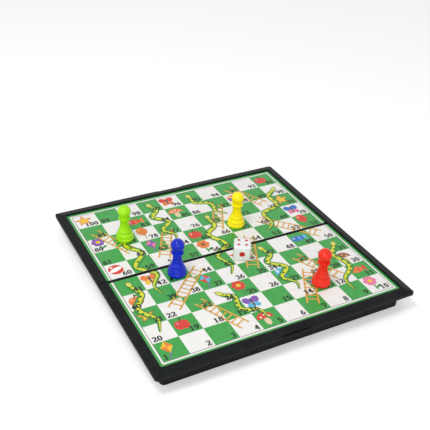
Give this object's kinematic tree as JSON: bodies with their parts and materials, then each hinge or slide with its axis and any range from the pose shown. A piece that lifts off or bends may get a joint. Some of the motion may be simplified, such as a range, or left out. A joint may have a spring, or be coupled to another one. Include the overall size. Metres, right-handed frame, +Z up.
{
  "type": "folding board game",
  "caption": "Folding magnetic snakes and ladders board: two hinged hollow half cases, four magnetic pawns and a die.",
  "frame": {"origin": "middle of the open board's underside, on the surface it stands on", "axes": "+X to the right along the front edge and the fold's seam, +Y from the front edge to the back, +Z up out of the playing surface"},
  "size_m": [0.25, 0.248, 0.0555],
  "materials": {
    "black_plastic": "fine moulded texture",
    "tinned_steel": "tinned",
    "printed_sheet": "printed and laminated",
    "hinge_steel": "drawn wire",
    "lime_plastic": "gloss",
    "blue_plastic": "gloss",
    "yellow_plastic": "gloss",
    "red_plastic": "gloss",
    "white_plastic": "polished",
    "red_pip_paint": "paint",
    "black_pip_paint": "paint",
    "magnet": "nickel plated"
  },
  "bodies": {
    "front_half": {"front_case": "black_plastic", "front_steel_sheet": "tinned_steel", "front_playing_sheet": "printed_sheet", "left_hinge_pin": "hinge_steel", "right_hinge_pin": "hinge_steel"},
    "rear_half": {"rear_case": "black_plastic", "rear_steel_sheet": "tinned_steel", "rear_playing_sheet": "printed_sheet"},
    "die": {"die_body": "white_plastic", "die_red_pips": "red_pip_paint", "die_black_pips": "black_pip_paint"},
    "green_pawn": {"green_pawn": "lime_plastic", "green_pawn_magnet": "magnet"},
    "blue_pawn": {"blue_pawn": "blue_plastic", "blue_pawn_magnet": "magnet"},
    "yellow_pawn": {"yellow_pawn": "yellow_plastic", "yellow_pawn_magnet": "magnet"},
    "red_pawn": {"red_pawn": "red_plastic", "red_pawn_magnet": "magnet"}
  },
  "joints": [
    {"name": "fold", "type": "hinge", "parent": "front_half", "child": "rear_half", "pos_m": [0, 0, 0.0025], "axis": [-1, 0, 0], "range_deg": [0, 180]},
    {"name": "green_pawn_lift", "type": "slide", "parent": "rear_half", "child": "green_pawn", "axis": [0, 0, 1], "range_m": [0, 0.06]},
    {"name": "yellow_pawn_lift", "type": "slide", "parent": "rear_half", "child": "yellow_pawn", "axis": [0, 0, 1], "range_m": [0, 0.06]},
    {"name": "blue_pawn_lift", "type": "slide", "parent": "front_half", "child": "blue_pawn", "axis": [0, 0, 1], "range_m": [0, 0.06]},
    {"name": "red_pawn_lift", "type": "slide", "parent": "front_half", "child": "red_pawn", "axis": [0, 0, 1], "range_m": [0, 0.06]},
    {"name": "die_lift", "type": "slide", "parent": "front_half", "child": "die", "axis": [0, 0, 1], "range_m": [0, 0.06]}
  ]
}
